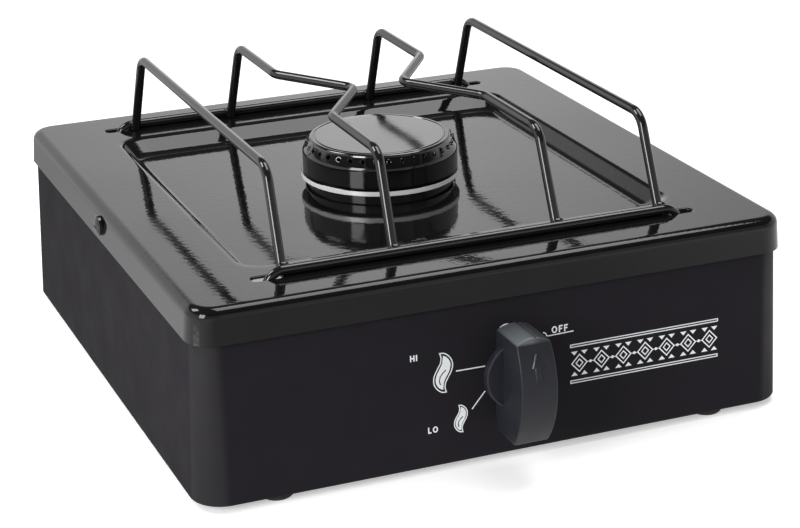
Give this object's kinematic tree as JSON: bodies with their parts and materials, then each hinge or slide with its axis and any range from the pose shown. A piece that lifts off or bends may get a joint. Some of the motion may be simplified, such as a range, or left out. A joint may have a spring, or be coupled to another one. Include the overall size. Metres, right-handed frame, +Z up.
{
  "type": "single-burner tabletop gas stove",
  "caption": "Low square tabletop gas stove: flared sheet-steel housing, enamelled cooktop with sunk well, round burner under a lift-off wire grate, push-and-turn knob, rear gas inlet.",
  "frame": {"origin": "on the table, in the plane of the four feet, under the middle of the housing and the burner", "axes": "+Z up, +Y to the rear, +X to the right as seen from the knob's side"},
  "size_m": [0.3092, 0.3662, 0.1467],
  "materials": {
    "body_black": "satin black powder coat",
    "enamel_black": "glossy black vitreous enamel",
    "burner_metal": "cast, machined bright at the rim",
    "zinc_steel": "zinc plated",
    "black_steel": "black oxide",
    "spring_steel": "drawn spring steel",
    "valve_brass": "machined brass",
    "pipe_copper": "drawn copper",
    "knob_plastic": "satin moulded plastic",
    "foot_rubber": "matt rubber"
  },
  "bodies": {
    "stove": {"housing": "body_black", "cooktop": "enamel_black", "burner_cup": "burner_metal", "front_left_foot": "foot_rubber", "front_right_foot": "foot_rubber", "rear_left_foot": "foot_rubber", "rear_right_foot": "foot_rubber", "cooktop_screws": "black_steel", "cooktop_clips": "zinc_steel", "burner_strap": "zinc_steel", "burner_screws": "zinc_steel", "mixer_tube": "black_steel", "valve_bracket": "zinc_steel", "inlet_bracket": "zinc_steel", "bracket_screws": "zinc_steel", "valve_body": "valve_brass", "valve_cover": "valve_brass", "valve_cover_screws": "zinc_steel", "injector": "valve_brass", "supply_pipe": "pipe_copper", "valve_pipe_nut": "valve_brass", "inlet_pipe_nut": "valve_brass", "inlet_fitting": "valve_brass", "inlet_locknut": "valve_brass"},
    "grate": {"front_rail": "enamel_black", "rear_rail": "enamel_black", "left_outer_wire": "enamel_black", "left_inner_wire": "enamel_black", "right_inner_wire": "enamel_black", "right_outer_wire": "enamel_black"},
    "burner_cap": {"burner_cap": "enamel_black"},
    "air_shutter": {"air_shutter": "zinc_steel"},
    "valve_plug": {"valve_plug": "valve_brass", "stem_spring": "spring_steel"},
    "knob": {"knob": "knob_plastic", "valve_stem": "zinc_steel", "knob_clip": "spring_steel"}
  },
  "joints": [
    {"name": "grate_lift", "type": "slide", "parent": "stove", "child": "grate", "axis": [0, 0, 1], "range_m": [0, 0.06]},
    {"name": "cap_lift", "type": "slide", "parent": "stove", "child": "burner_cap", "axis": [0, 0, 1], "range_m": [0, 0.022]},
    {"name": "shutter_turn", "type": "hinge", "parent": "stove", "child": "air_shutter", "pos_m": [0, -0.0988, 0.0493], "axis": [0, -1, 0], "range_deg": [0, 60]},
    {"name": "knob_turn", "type": "hinge", "parent": "stove", "child": "valve_plug", "pos_m": [0, -0.1263, 0.0493], "axis": [0, -1, 0], "range_deg": [0, 135]},
    {"name": "knob_press", "type": "slide", "parent": "valve_plug", "child": "knob", "axis": [0, 1, 0], "range_m": [0, 0.003], "stiffness_N_per_m": 800, "springref_m": -0.004, "deforming": ["stem_spring"]}
  ]
}
